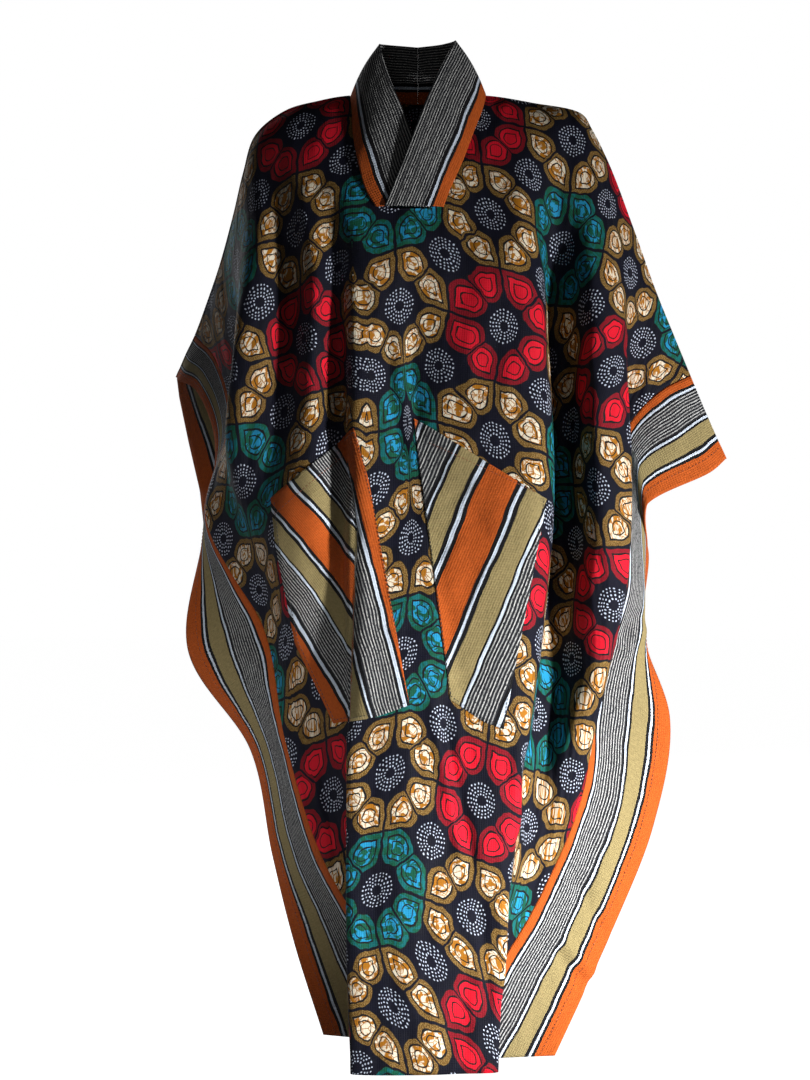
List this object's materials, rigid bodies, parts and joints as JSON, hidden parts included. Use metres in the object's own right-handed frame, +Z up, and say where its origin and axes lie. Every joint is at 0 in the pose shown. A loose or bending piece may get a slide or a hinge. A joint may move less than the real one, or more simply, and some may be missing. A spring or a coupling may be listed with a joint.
{
  "type": "grand boubou robe",
  "caption": "Floor length grand boubou in printed cotton with woven striped borders, crossed shawl collar and slanting patch pockets, hollow as worn.",
  "frame": {"origin": "between the shoulders, at the height where the collar meets the shoulder line, where the wearer holds the robe up", "axes": "+Z up along the robe's length, -Y out of its front, +X to the right of a viewer who faces the front"},
  "size_m": [0.8175, 0.4064, 1.4705],
  "materials": {
    "print_cotton": "matte",
    "woven_stripe": "matte"
  },
  "bodies": {
    "root": {"front_panel": "print_cotton", "back_panel": "print_cotton", "front_border_left": "woven_stripe", "front_border_right": "woven_stripe", "back_border_left": "woven_stripe", "back_border_right": "woven_stripe", "collar_left": "woven_stripe", "collar_right": "woven_stripe", "pocket_left": "woven_stripe", "pocket_right": "woven_stripe"}
  },
  "joints": []
}
